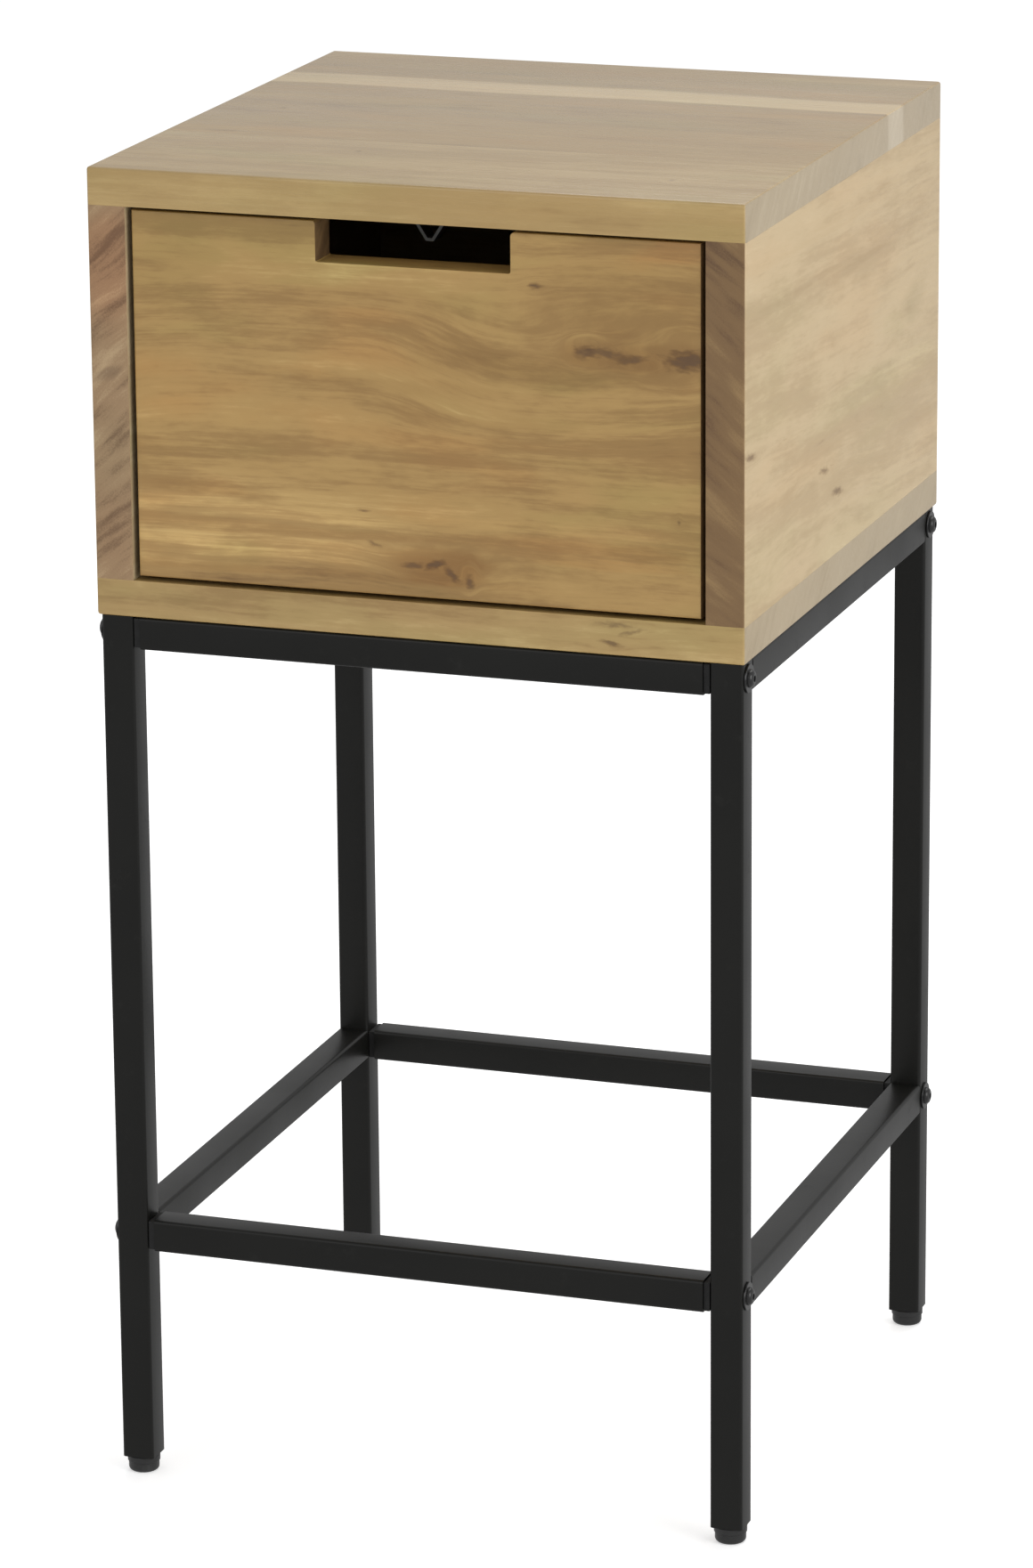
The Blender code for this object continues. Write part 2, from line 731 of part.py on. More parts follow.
screw_top = TUBE + 2 * TOUCH + BOX_SCREW_BITE
box_screw_profile = [
    (0.0, screw_top),
    (BOX_SCREW / 2 - 0.0012, screw_top - 0.0012),
    (BOX_SCREW / 2, screw_top - 0.0035),
    (BOX_SCREW / 2, 0.0),
    (BOX_SCREW, 0.0),
    (BOX_SCREW, -0.0013),
    (BOX_SCREW - 0.0010, -0.0022),
    (0.0, -0.0025),
]
box_screw_mesh = turned_mesh("box_screw", box_screw_profile, 16)
head_level = LEG_TOP - TUBE - TOUCH
for x, y in CORNERS:
    name = corner_name(x, y)
    boolean(
        bottom_board,
        round_cutter(
            f"box_bore_{name}",
            BOX_SCREW / 2 + TOUCH,
            2 * (BOX_SCREW_BITE + TOUCH),
            (x * LEG_X, y * BOX_SCREW_Y, BOX_BOTTOM),
        ),
    )
    place(
        "box_screw_" + name,
        box_screw_mesh.copy(),
        (x * LEG_X, y * BOX_SCREW_Y, head_level),
        "zinc",
    )
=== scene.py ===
import json
import math

import bmesh
import bpy
from mathutils import Matrix, Vector

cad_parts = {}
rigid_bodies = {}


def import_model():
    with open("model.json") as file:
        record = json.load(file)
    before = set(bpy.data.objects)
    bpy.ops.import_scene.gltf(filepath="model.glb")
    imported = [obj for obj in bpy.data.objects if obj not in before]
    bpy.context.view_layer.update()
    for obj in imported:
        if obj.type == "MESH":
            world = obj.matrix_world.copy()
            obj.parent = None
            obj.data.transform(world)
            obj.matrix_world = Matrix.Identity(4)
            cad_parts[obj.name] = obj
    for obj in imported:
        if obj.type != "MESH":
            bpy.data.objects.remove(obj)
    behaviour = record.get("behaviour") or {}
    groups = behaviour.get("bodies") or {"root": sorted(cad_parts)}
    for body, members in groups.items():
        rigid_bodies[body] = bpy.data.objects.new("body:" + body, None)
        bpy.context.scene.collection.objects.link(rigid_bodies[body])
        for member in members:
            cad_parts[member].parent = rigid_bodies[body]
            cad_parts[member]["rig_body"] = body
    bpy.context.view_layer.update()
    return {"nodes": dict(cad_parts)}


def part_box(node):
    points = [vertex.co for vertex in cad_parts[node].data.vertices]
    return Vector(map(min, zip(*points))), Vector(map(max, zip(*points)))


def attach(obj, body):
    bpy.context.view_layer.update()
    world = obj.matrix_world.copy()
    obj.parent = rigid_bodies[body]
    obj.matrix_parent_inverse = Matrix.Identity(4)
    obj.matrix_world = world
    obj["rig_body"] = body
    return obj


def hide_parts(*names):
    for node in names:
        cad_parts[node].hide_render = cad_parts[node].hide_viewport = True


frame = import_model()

NODES = frame["nodes"]


# ------------------------------------------------------------------ colours and node helpers

def rgb(r, g, b):
    """An 8-bit display colour as linear light."""
    out = []
    for c in (r, g, b):
        c /= 255.0
        out.append(c / 12.92 if c <= 0.04045 else ((c + 0.055) / 1.055) ** 2.4)
    return tuple(out)


class Graph:
    """Short names for the shader nodes of one material."""

    def __init__(self, name):
        self.material = bpy.data.materials.new(name)
        self.material.use_nodes = True
        self.tree = self.material.node_tree
        self.shader = self.tree.nodes["Principled BSDF"]
        self._coords = None

    def node(self, kind, **settings):
        made = self.tree.nodes.new(kind)
        for key, value in settings.items():
            setattr(made, key, value)
        return made

    def put(self, socket, value):
        if isinstance(value, bpy.types.NodeSocket):
            self.tree.links.new(value, socket)
        elif isinstance(value, (tuple, list)) and socket.type == "RGBA":
            socket.default_value = (*value[:3], 1.0)
        else:
            socket.default_value = value

    def math(self, operation, *values, clamp=False):
        made = self.node("ShaderNodeMath", operation=operation, use_clamp=clamp)
        for socket, value in zip(made.inputs, values):
            self.put(socket, value)
        return made.outputs[0]

    def add(self, a, b):
        return self.math("ADD", a, b)

    def sub(self, a, b):
        return self.math("SUBTRACT", a, b)

    def mul(self, a, b):
        return self.math("MULTIPLY", a, b)

    def step(self, value, low, high, to_low=0.0, to_high=1.0):
        """A smooth step of value from low to high."""
        made = self.node("ShaderNodeMapRange", interpolation_type="SMOOTHSTEP")
        for key, item in zip(("Value", "From Min", "From Max", "To Min", "To Max"),
                             (value, low, high, to_low, to_high)):
            self.put(made.inputs[key], item)
        return made.outputs[0]

    def xyz(self):
        """The piece's own coordinates, in metres."""
        if self._coords is None:
            coords = self.node("ShaderNodeTexCoord")
            split = self.node("ShaderNodeSeparateXYZ")
            self.put(split.inputs[0], coords.outputs["Object"])
            normal = self.node("ShaderNodeSeparateXYZ")
            self.put(normal.inputs[0], coords.outputs["Normal"])
            self._coords = (list(split.outputs), list(normal.outputs), coords.outputs["Object"])
        return self._coords

    def vector(self, x, y, z):
        made = self.node("ShaderNodeCombineXYZ")
        for socket, value in zip(made.inputs, (x, y, z)):
            self.put(socket, value)
        return made.outputs[0]

    def noise(self, vector, scale=1.0, detail=2.0, rough=0.5, distortion=0.0):
        made = self.node("ShaderNodeTexNoise", noise_dimensions="3D")
        self.put(made.inputs["Vector"], vector)
        for key, value in (("Scale", scale), ("Detail", detail), ("Roughness", rough),
                           ("Distortion", distortion)):
            made.inputs[key].default_value = value
        return made.outputs["Fac"]

    def mix(self, factor, a, b, blend="MIX"):
        made = self.node("ShaderNodeMix", data_type="RGBA", blend_type=blend)
        self.put(made.inputs[0], factor)
        self.put(made.inputs[6], a)
        self.put(made.inputs[7], b)
        return made.outputs[2]

    def ramp(self, factor, stops):
        made = self.node("ShaderNodeValToRGB")
        ramp = made.color_ramp
        ramp.interpolation = "EASE"
        while len(ramp.elements) < len(stops):
            ramp.elements.new(0.5)
        for element, (place, colour) in zip(ramp.elements, stops):
            element.position = place
            element.color = (*colour, 1.0)
        self.put(made.inputs[0], factor)
        return made.outputs[0]

    def blob(self, a, b, centre, radii, turn=0.0):
        """1 at the centre of an ellipse in the plane of a and b, falling to 0 at its rim."""
        da, db = self.sub(a, centre[0]), self.sub(b, centre[1])
        if turn:
            c, s = math.cos(turn), math.sin(turn)
            da, db = (self.add(self.mul(da, c), self.mul(db, s)),
                      self.sub(self.mul(db, c), self.mul(da, s)))
        da, db = self.mul(da, 1 / radii[0]), self.mul(db, 1 / radii[1])
        square = self.add(self.mul(da, da), self.mul(db, db))
        return self.step(square, 0.0, 1.0, 1.0, 0.0)

    def rubbed_edge(self, radius):
        """1 along the piece's rounded edges, broken up by noise, and 0 on its flat faces."""
        made = self.node("ShaderNodeBevel", samples=4)
        made.inputs["Radius"].default_value = radius
        geometry = self.node("ShaderNodeNewGeometry")
        dot = self.node("ShaderNodeVectorMath", operation="DOT_PRODUCT")
        self.put(dot.inputs[0], made.outputs[0])
        self.put(dot.inputs[1], geometry.outputs["Normal"])
        edge = self.step(dot.outputs["Value"], 0.999, 0.93)
        patchy = self.noise(self.xyz()[2], scale=90.0, detail=3.0)
        return self.mul(edge, self.step(patchy, 0.35, 0.65))

    def bump(self, height, strength, distance):
        made = self.node("ShaderNodeBump")
        self.put(made.inputs["Height"], height)
        made.inputs["Strength"].default_value = strength
        made.inputs["Distance"].default_value = distance
        self.put(self.shader.inputs["Normal"], made.outputs[0])


# ------------------------------------------------------------------ wood

def wood(name, along, across, seed, tones, end_tones, tint=(1.0, 1.0, 1.0), wander=0.012,
         bends=(), knots=(), patches=(), end_patches=(), staves=(), sapwood=None,
         contrast=1.0, grain=1.0, hues=0.65, end_contrast=1.0, end_turn=math.radians(40),
         slope=0.0, gloss=0.48, painted_sheen_edge_tint=None):
    """Solid wood. along is the grain's axis and across the axis seen across the main face.

    bends, knots and patches are given in metres on the main face as (along, across, ...), and
    end_patches on the end grain as (through the board, across, ...).
    """
    g = Graph(name)
    places, normals, _ = g.xyz()
    index = {"X": 0, "Y": 1, "Z": 2}
    run = places[index[along]]
    side = places[index[across]]
    third = [a for a in "XYZ" if a not in (along, across)][0]
    depth = places[index[third]]

    def toned(colour):
        return tuple(c * t for c, t in zip(colour, tint))

    def tinted(colour, amount):
        return g.mix(1.0, colour, amount, "MULTIPLY")

    # Staves glued edge to edge: each has its own grain and its own tone
    shift = seed
    tone_shift = 0.0
    for edge, jump, tone in staves:
        past = g.step(side, edge - 0.0002, edge + 0.0002)
        shift = g.add(shift, g.mul(past, jump))
        tone_shift = g.add(tone_shift, g.mul(past, tone))

    # The grain lines wander a little, and bend round knots
    drift = g.noise(g.vector(g.mul(run, 4.0), g.add(g.mul(side, 9.0), shift), g.mul(depth, 9.0)),
                    detail=2.0)
    ripple = g.noise(g.vector(g.mul(run, 20.0), g.add(g.mul(side, 45.0), shift),
                              g.mul(depth, 45.0)), detail=1.0)
    line = g.add(side, g.mul(g.sub(drift, 0.5), wander))
    line = g.add(line, g.mul(g.sub(ripple, 0.5), 0.0016))
    if slope:
        line = g.add(line, g.mul(run, slope))
    for a, b, ra, rb, push in bends:
        line = g.add(line, g.mul(g.blob(run, side, (a, b), (ra, rb)), push))
    for a, b, ra, rb, _, _ in knots:
        near = g.blob(run, side, (a, b), (ra * 2.4, rb * 3.2))
        line = g.sub(line, g.mul(g.mul(near, g.sub(side, b)), 0.55))

    def streaks(stretch, pitch, detail, rough=0.55, offset=0.0):
        where = g.vector(g.add(g.mul(run, stretch), offset), g.add(g.mul(line, pitch), shift),
                         g.add(g.mul(depth, pitch), offset))
        return g.sub(g.noise(where, detail=detail, rough=rough), 0.5)

    broad = streaks(2.6, 22.0, 2.0, offset=1.7)
    middle = streaks(6.5, 95.0, 3.0, offset=4.1)
    fine = streaks(13.0, 420.0, 3.0, rough=0.62, offset=9.3)
    fleck = streaks(85.0, 430.0, 3.0, rough=0.62, offset=7.7)
    hair = streaks(60.0, 2300.0, 1.0, offset=3.9)
    mottle = streaks(30.0, 62.0, 3.0, offset=6.6)
    tone = g.add(g.mul(broad, 0.85 * contrast), g.mul(middle, 0.52 * contrast * grain))
    tone = g.add(tone, g.mul(fine, 0.36 * contrast * grain))
    tone = g.add(tone, g.mul(fleck, 0.30 * contrast * grain))
    tone = g.add(tone, g.mul(mottle, 0.36 * contrast * grain))
    tone = g.add(g.add(tone, 0.5), tone_shift)
    stops = (0.12, 0.40, 0.60, 0.90)
    colour = g.ramp(tone, [(place, toned(c)) for place, c in zip(stops, tones)])

    # Slow changes of hue, to green-grey and to red
    hue = g.noise(g.vector(g.mul(run, 8.0), g.add(g.mul(line, 26.0), shift), g.mul(depth, 26.0)),
                  detail=3.0)
    most = hues * contrast
    greener, redder = (0.91, 1.01, 0.92), (1.06, 0.94, 0.85)
    colour = g.mix(g.step(hue, 0.50, 0.72, 0.0, most), colour, tinted(colour, greener))
    colour = g.mix(g.step(hue, 0.48, 0.28, 0.0, most), colour, tinted(colour, redder))

    if sapwood:
        low, high, pale = sapwood
        waver = g.sub(g.noise(g.vector(g.mul(run, 6.0), seed, 0.0), detail=2.0), 0.5)
        moved = g.add(side, g.mul(waver, 0.018))
        inside = g.mul(g.step(moved, low - 0.0020, low + 0.0015),
                       g.step(moved, high + 0.0030, high - 0.0030))
        colour = g.mix(g.mul(inside, 0.85), colour, tinted(colour, pale))

    # Open pores: short dark dashes along the grain
    pore = g.step(hair, 0.13, 0.30, 0.0, 0.30)
    pores = g.mul(pore, g.step(middle, -0.12, 0.16, 0.35, 1.0))
    colour = g.mix(pores, colour, tinted(colour, (0.66, 0.59, 0.52)))

    for a, b, ra, rb, strength, shade in patches:
        ragged = g.blob(g.add(run, g.mul(mottle, 0.05)), g.add(side, g.mul(middle, 0.016)),
                        (a, b), (ra, rb))
        ragged = g.mul(ragged, g.step(fine, -0.30, 0.20, 0.45, 1.0))
        colour = g.mix(g.mul(ragged, strength), colour, tinted(colour, shade))
    rag_a = g.sub(g.noise(g.vector(g.mul(run, 220.0), g.mul(side, 420.0), seed), detail=3.0), 0.5)
    rag_b = g.sub(g.noise(g.vector(g.mul(run, 200.0), g.mul(side, 480.0), seed + 3.0),
                          detail=3.0), 0.5)
    knot_height = None
    for a, b, ra, rb, strength, turn in knots:
        near_a = g.add(run, g.mul(rag_a, ra * 1.1))
        near_b = g.add(side, g.mul(rag_b, rb * 1.5))
        where = g.blob(near_a, near_b, (a, b), (ra, rb), turn)
        heart = g.blob(near_a, near_b, (a, b), (ra * 0.60, rb * 0.50), turn)
        colour = g.mix(g.mul(where, strength), colour, tinted(colour, (0.50, 0.42, 0.33)))
        colour = g.mix(g.mul(heart, strength * 0.7), colour, (0.098, 0.052, 0.022))
        knot_height = heart if knot_height is None else g.math("MAXIMUM", knot_height, heart)

    # End grain: the rings seen end on, darker and rougher
    end = g.step(g.math("ABSOLUTE", normals[index[along]]), 0.62, 0.86)
    c, s = math.cos(end_turn), math.sin(end_turn)
    ring = g.sub(g.mul(side, c), g.mul(depth, s))
    other = g.add(g.mul(side, s), g.mul(depth, c))
    bow = g.noise(g.vector(g.mul(side, 12.0), g.mul(depth, 12.0), seed), detail=1.0)
    ring = g.add(ring, g.mul(g.sub(bow, 0.5), 0.020))
    rings = g.sub(g.noise(g.vector(g.mul(ring, 210.0), g.mul(other, 26.0), g.mul(run, 30.0)),
                          detail=3.0, rough=0.6), 0.5)
    bands = g.sub(g.noise(g.vector(g.mul(ring, 42.0), g.mul(other, 14.0), seed), detail=2.0), 0.5)
    specks = g.sub(g.noise(g.vector(g.mul(side, 1500.0), g.mul(depth, 1500.0), seed),
                           detail=1.0), 0.5)
    end_tone = g.add(g.mul(rings, 0.75 * end_contrast), g.mul(bands, 0.80 * end_contrast))
    end_tone = g.add(g.add(end_tone, g.mul(specks, 0.22 * end_contrast)), 0.5)
    end_colour = g.ramp(end_tone, [(place, c) for place, c in zip((0.15, 0.5, 0.85), end_tones)])
    for a, b, ra, rb, strength, shade in end_patches:
        ragged = g.blob(g.add(depth, g.mul(rings, 0.012)), g.add(side, g.mul(bands, 0.030)),
                        (a, b), (ra, rb))
        end_colour = g.mix(g.mul(ragged, strength), end_colour, tinted(end_colour, shade))
    if sapwood:
        end_colour = g.mix(g.mul(inside, 0.4), end_colour, tinted(end_colour, pale))
    colour = g.mix(end, colour, end_colour)
    # Painted light: faces across the grain get this tint, so the top board's front and back edges
    # come out yellower than its top face. The tint stands in for the sheen that pales the top face.
    if painted_sheen_edge_tint:
        edge = g.step(g.math("ABSOLUTE", normals[index[across]]), 0.62, 0.86)
        colour = g.mix(edge, colour, tinted(colour, painted_sheen_edge_tint))

    # Edges that hands and cloths have rubbed are a little paler
    rubbed = g.rubbed_edge(0.0016)
    colour = g.mix(g.mul(rubbed, 0.22), colour, tinted(colour, (1.30, 1.27, 1.22)))

    g.put(g.shader.inputs["Base Color"], colour)
    level = g.add(g.mul(fine, 0.22), g.mul(broad, 0.16))
    level = g.add(g.add(level, gloss), g.mul(end, 0.10))
    level = g.sub(level, g.mul(rubbed, 0.05))
    g.put(g.shader.inputs["Roughness"], g.math("ADD", level, g.mul(pores, 0.25), clamp=True))
    height = g.sub(g.mul(fine, 0.35), g.mul(pores, 0.9))
    height = g.add(height, g.mul(g.mul(end, rings), 0.8))
    height = g.add(height, g.mul(broad, 0.6))
    if knot_height is not None:
        height = g.sub(height, g.mul(knot_height, 0.8))
    g.bump(height, 0.40, 0.00022)
    return g.material


def powder_coat(name, colour, rough, specular=0.5, texture=1.0):
    """Satin powder coat: a fine orange peel, slightly uneven gloss, dust and small rubs."""
    g = Graph(name)
    _, _, place = g.xyz()
    peel = g.noise(place, scale=900.0, detail=2.0)
    cloud = g.noise(place, scale=14.0, detail=3.0)
    rub = g.noise(place, scale=70.0, detail=4.0, rough=0.7)
    rubbed = g.step(rub, 0.60, 0.80, 0.0, 0.35)
    lighter = tuple(min(1.0, c * 1.9 + 0.006) for c in colour)
    darker = tuple(c * 0.75 for c in colour)
    tint = g.mix(g.step(cloud, 0.30, 0.70), darker, colour)
    tint = g.mix(rubbed, tint, lighter)
    g.put(g.shader.inputs["Base Color"], tint)
    level = g.add(g.mul(g.sub(cloud, 0.5), 0.20), g.mul(rubbed, 0.25))
    g.put(g.shader.inputs["Roughness"], g.math("ADD", level, rough, clamp=True))
    g.shader.inputs["Specular IOR Level"].default_value = specular
    g.bump(peel, 0.25 * texture, 0.00012)
    return g.material


def plain_metal(name, colour, rough, metallic):
    g = Graph(name)
    _, _, place = g.xyz()
    cloud = g.noise(place, scale=160.0, detail=3.0)
    scratch = g.noise(place, scale=1500.0, detail=2.0)
    g.put(g.shader.inputs["Base Color"],
          g.mix(g.step(cloud, 0.35, 0.70), tuple(c * 0.75 for c in colour), colour))
    g.put(g.shader.inputs["Roughness"],
          g.math("ADD", g.mul(g.sub(cloud, 0.5), 0.25), rough, clamp=True))
    g.shader.inputs["Metallic"].default_value = metallic
    g.bump(scratch, 0.15, 0.00005)
    return g.material


def plastic(name, colour, rough):
    g = Graph(name)
    _, _, place = g.xyz()
    grain = g.noise(place, scale=1100.0, detail=2.0)
    scuff = g.noise(place, scale=120.0, detail=3.0)
    g.put(g.shader.inputs["Base Color"],
          g.mix(g.step(scuff, 0.50, 0.75, 0.0, 0.6), colour, tuple(c * 2.0 + 0.01 for c in colour)))
    g.put(g.shader.inputs["Roughness"],
          g.math("ADD", g.mul(g.sub(scuff, 0.5), 0.3), rough, clamp=True))
    g.bump(grain, 0.2, 0.00008)
    return g.material


# Golden board tones, dark to light
GOLD = [rgb(110, 80, 40), rgb(142, 110, 60), rgb(162, 130, 75), rgb(194, 164, 106)]
EDGE = [rgb(124, 92, 48), rgb(150, 120, 72), rgb(166, 137, 86), rgb(192, 164, 112)]
PALE = [rgb(142, 116, 83), rgb(168, 146, 111), rgb(181, 160, 125), rgb(198, 180, 147)]
TOP = [rgb(134, 109, 74), rgb(158, 134, 95), rgb(170, 147, 107), rgb(193, 172, 133)]
END_LEFT = [rgb(108, 82, 55), rgb(144, 117, 85), rgb(168, 143, 108)]
END_RIGHT = [rgb(90, 64, 38), rgb(114, 87, 53), rgb(134, 107, 68)]
END_BOARD = [rgb(138, 123, 98), rgb(158, 143, 118), rgb(176, 162, 137)]
END_CUT = [rgb(78, 58, 36), rgb(98, 75, 47), rgb(120, 95, 62)]

DRAWER_WOOD = wood(
    "drawer front wood", "X", "Z", 3.1, GOLD, END_CUT, wander=0.014, contrast=1.1, grain=0.72,
    bends=[(0.075, 0.598, 0.100, 0.045, 0.011), (-0.070, 0.600, 0.120, 0.050, -0.009),
           (0.110, 0.640, 0.070, 0.030, -0.005), (0.010, 0.497, 0.045, 0.016, 0.003)],
    knots=[(0.063, 0.6437, 0.0050, 0.0020, 0.90, 0.0),
           (0.098, 0.6125, 0.0190, 0.0036, 0.60, -0.10),
           (0.112, 0.6100, 0.0110, 0.0030, 0.60, 0.20),
           (0.141, 0.6115, 0.0160, 0.0068, 0.90, 0.06),
           (0.088, 0.6120, 0.0070, 0.0042, 0.60, 0.15),
           (0.010, 0.5005, 0.0080, 0.0028, 0.80, 0.45),
           (0.019, 0.4960, 0.0070, 0.0026, 0.70, -0.80),
           (0.028, 0.4930, 0.0030, 0.0050, 0.65, 0.10),
           (-0.002, 0.4995, 0.0080, 0.0022, 0.60, 0.10),
           (-0.027, 0.5255, 0.0045, 0.0012, 0.55, 0.0),
           (-0.022, 0.5090, 0.0060, 0.0018, 0.45, -0.35),
           (0.136, 0.5310, 0.0012, 0.0018, 0.50, 0.0)],
    patches=[(0.135, 0.665, 0.026, 0.007, 0.55, (1.02, 0.80, 0.68)),
             (0.090, 0.512, 0.070, 0.010, 0.60, (0.98, 0.82, 0.68)),
             (-0.125, 0.645, 0.040, 0.028, 0.70, (0.88, 0.92, 0.84)),
             (-0.020, 0.630, 0.060, 0.022, 0.45, (0.90, 0.86, 0.80)),
             (0.070, 0.603, 0.090, 0.011, 0.75, (0.78, 0.73, 0.62)),
             (0.022, 0.612, 0.030, 0.009, 0.60, (0.80, 0.75, 0.66)),
             (-0.010, 0.590, 0.085, 0.005, 0.50, (0.84, 0.80, 0.72)),
             (0.045, 0.575, 0.060, 0.006, 0.45, (0.85, 0.80, 0.72)),
             (-0.115, 0.530, 0.050, 0.005, 0.80, (0.76, 0.70, 0.60)),
             (-0.060, 0.513, 0.150, 0.0035, 0.60, (0.82, 0.72, 0.60)),
             (-0.090, 0.522, 0.110, 0.005, 0.80, (1.20, 1.22, 1.26)),
             (-0.080, 0.504, 0.100, 0.008, 0.75, (1.22, 1.22, 1.24)),
             (0.085, 0.524, 0.110, 0.006, 0.70, (1.16, 1.16, 1.18)),
             (-0.060, 0.492, 0.140, 0.004, 0.65, (0.82, 0.74, 0.62)),
             (-0.110, 0.572, 0.050, 0.012, 0.50, (1.10, 1.10, 1.10)),
             (-0.100, 0.510, 0.130, 0.036, 0.95, (1.40, 1.50, 1.72)),
             (-0.070, 0.556, 0.100, 0.020, 0.50, (1.08, 1.09, 1.12)),
             (0.115, 0.640, 0.065, 0.030, 0.80, (0.86, 0.84, 0.76)),
             (0.112, 0.613, 0.052, 0.0105, 0.95, (0.70, 0.60, 0.46)),
             (0.010, 0.499, 0.036, 0.0125, 0.95, (0.80, 0.66, 0.48))],
)
TOP_WOOD = wood(
    "top board wood", "X", "Y", 11.7, TOP, END_BOARD,
    staves=[(-0.071, 5.3, -0.11), (0.074, 3.9, 0.00), (0.104, 7.7, 0.05)],
    sapwood=(0.076, 0.104, (1.55, 1.68, 1.95)),
    knots=[(-0.055, -0.098, 0.0024, 0.0030, 0.30, 0.0), (0.118, -0.127, 0.0030, 0.0034, 0.30, 0.0),
           (-0.134, 0.004, 0.0040, 0.0030, 0.22, 0.0), (-0.140, -0.064, 0.0140, 0.0040, 0.22, 0.0)],
    patches=[(0.115, 0.000, 0.050, 0.050, 0.50, (0.98, 0.96, 0.98)),
             (-0.050, 0.030, 0.070, 0.030, 0.50, (1.03, 1.01, 0.93))],
    # Painted light: this tint makes the board's front and back edges yellower than its top face, in
    # place of the sheen that pales the top.
    contrast=0.62, end_contrast=0.70, gloss=0.28, painted_sheen_edge_tint=(1.04, 1.00, 0.82),
)
BOTTOM_WOOD = wood(
    "bottom board wood", "X", "Z", 21.3, EDGE, END_BOARD,
    knots=[(0.104, 0.4775, 0.0150, 0.0022, 0.45, 0.0), (0.112, 0.4745, 0.0100, 0.0016, 0.40, 0.3),
           (0.101, 0.4680, 0.0080, 0.0020, 0.70, -0.2)],
    tint=(0.93, 0.93, 0.92), end_contrast=0.6,
)
SIDE_RIGHT_WOOD = wood(
    "right side wood", "Y", "Z", 31.9, PALE, END_RIGHT, wander=0.010, end_contrast=1.2, hues=0.36,
    bends=[(-0.040, 0.510, 0.120, 0.040, -0.006)],
    knots=[(-0.040, 0.5290, 0.0105, 0.0026, 0.55, -0.16),
           (-0.016, 0.5130, 0.0125, 0.0030, 0.60, -0.14),
           (-0.166, 0.5640, 0.0120, 0.0026, 0.60, -0.10)],
    patches=[(0.128, 0.584, 0.030, 0.014, 0.70, (0.80, 0.81, 0.76)),
             (0.085, 0.577, 0.022, 0.010, 0.50, (0.90, 0.92, 0.86)),
             (0.120, 0.550, 0.060, 0.012, 0.55, (1.06, 1.10, 1.05)),
             (0.010, 0.556, 0.110, 0.014, 0.45, (0.96, 1.03, 0.98)),
             (-0.090, 0.629, 0.120, 0.004, 0.60, (0.84, 0.82, 0.78)),
             (0.010, 0.622, 0.100, 0.0035, 0.60, (0.86, 0.83, 0.79)),
             (0.120, 0.626, 0.060, 0.004, 0.45, (0.88, 0.84, 0.80)),
             (-0.020, 0.653, 0.150, 0.004, 0.45, (0.90, 0.86, 0.80)),
             (-0.080, 0.530, 0.080, 0.008, 0.35, (0.88, 0.86, 0.80))],
    end_turn=math.radians(-42), slope=0.062, contrast=0.72, gloss=0.50,
)
SIDE_LEFT_WOOD = wood(
    "left side wood", "Y", "Z", 43.3, PALE, END_LEFT, wander=0.012,
    bends=[(0.030, 0.580, 0.170, 0.080, 0.010), (-0.080, 0.620, 0.100, 0.050, -0.008)],
    knots=[(0.070, 0.6040, 0.0120, 0.0030, 0.50, 0.10)],
    patches=[(-0.090, 0.540, 0.070, 0.016, 0.40, (0.86, 0.86, 0.82)),
             (0.060, 0.560, 0.080, 0.010, 0.40, (1.06, 1.08, 1.05))],
    end_patches=[(-0.160, 0.640, 0.024, 0.038, 0.75, (1.06, 0.86, 0.78)),
                 (-0.160, 0.587, 0.010, 0.006, 0.60, (0.62, 0.60, 0.60)),
                 (-0.160, 0.545, 0.020, 0.026, 0.60, (1.00, 1.06, 1.06)),
                 (-0.160, 0.500, 0.020, 0.022, 0.40, (1.02, 0.95, 0.92))],
    end_turn=math.radians(40), slope=-0.040, contrast=0.85, end_contrast=1.4, gloss=0.50,
)
INNER_WOOD = wood("drawer box wood", "Y", "Z", 57.1, PALE, END_BOARD, contrast=0.6)
CROSS_WOOD = wood("drawer back wood", "X", "Z", 63.7, PALE, END_BOARD, contrast=0.6)
PLY_WOOD = wood("ply", "X", "Y", 71.3, PALE, END_BOARD, contrast=0.5)
BACK_WOOD = wood("back panel wood", "X", "Z", 83.9, GOLD, END_BOARD, contrast=0.7)

BLACK_COAT = powder_coat("black powder coat", (0.0056, 0.0056, 0.0046), 0.38, 0.27)
BLACK_BOLT = powder_coat("black bolt", (0.010, 0.010, 0.010), 0.30, 0.50, 0.4)
GLIDE = plastic("black glide plastic", (0.012, 0.012, 0.012), 0.42)
PLUG = plastic("black plug plastic", (0.003, 0.003, 0.003), 0.75)
ZINC = plain_metal("zinc plate", (0.09, 0.09, 0.087), 0.42, 1.0)


# ------------------------------------------------------------------ pieces

def finish_mesh(name, bm, material, angle=35.0):
    mesh = bpy.data.meshes.new(name)
    bmesh.ops.recalc_face_normals(bm, faces=bm.faces)
    bm.to_mesh(mesh)
    bm.free()
    mesh.shade_smooth()
    mesh.set_sharp_from_angle(angle=math.radians(angle))
    mesh.materials.append(material)
    obj = bpy.data.objects.new(name, mesh)
    bpy.context.scene.collection.objects.link(obj)
    return obj


def rounded_block(name, low, high, radius, material, wanted=None, segments=4):
    """A block whose chosen edges are rounded. wanted tests an edge's middle and direction."""
    bm = bmesh.new()
    bmesh.ops.create_cube(bm, size=1.0)
    low, high = Vector(low), Vector(high)
    size, centre = high - low, (high + low) / 2
    bmesh.ops.scale(bm, vec=size, verts=bm.verts)
    edges = []
    for edge in bm.edges:
        a, b = (v.co for v in edge.verts)
        if wanted is None or wanted((a + b) / 2, (b - a).normalized()):
            edges.append(edge)
    bmesh.ops.bevel(bm, geom=edges, offset=radius, segments=segments, profile=0.5, affect="EDGES")
    bmesh.ops.translate(bm, vec=centre, verts=bm.verts)
    return finish_mesh(name, bm, material)


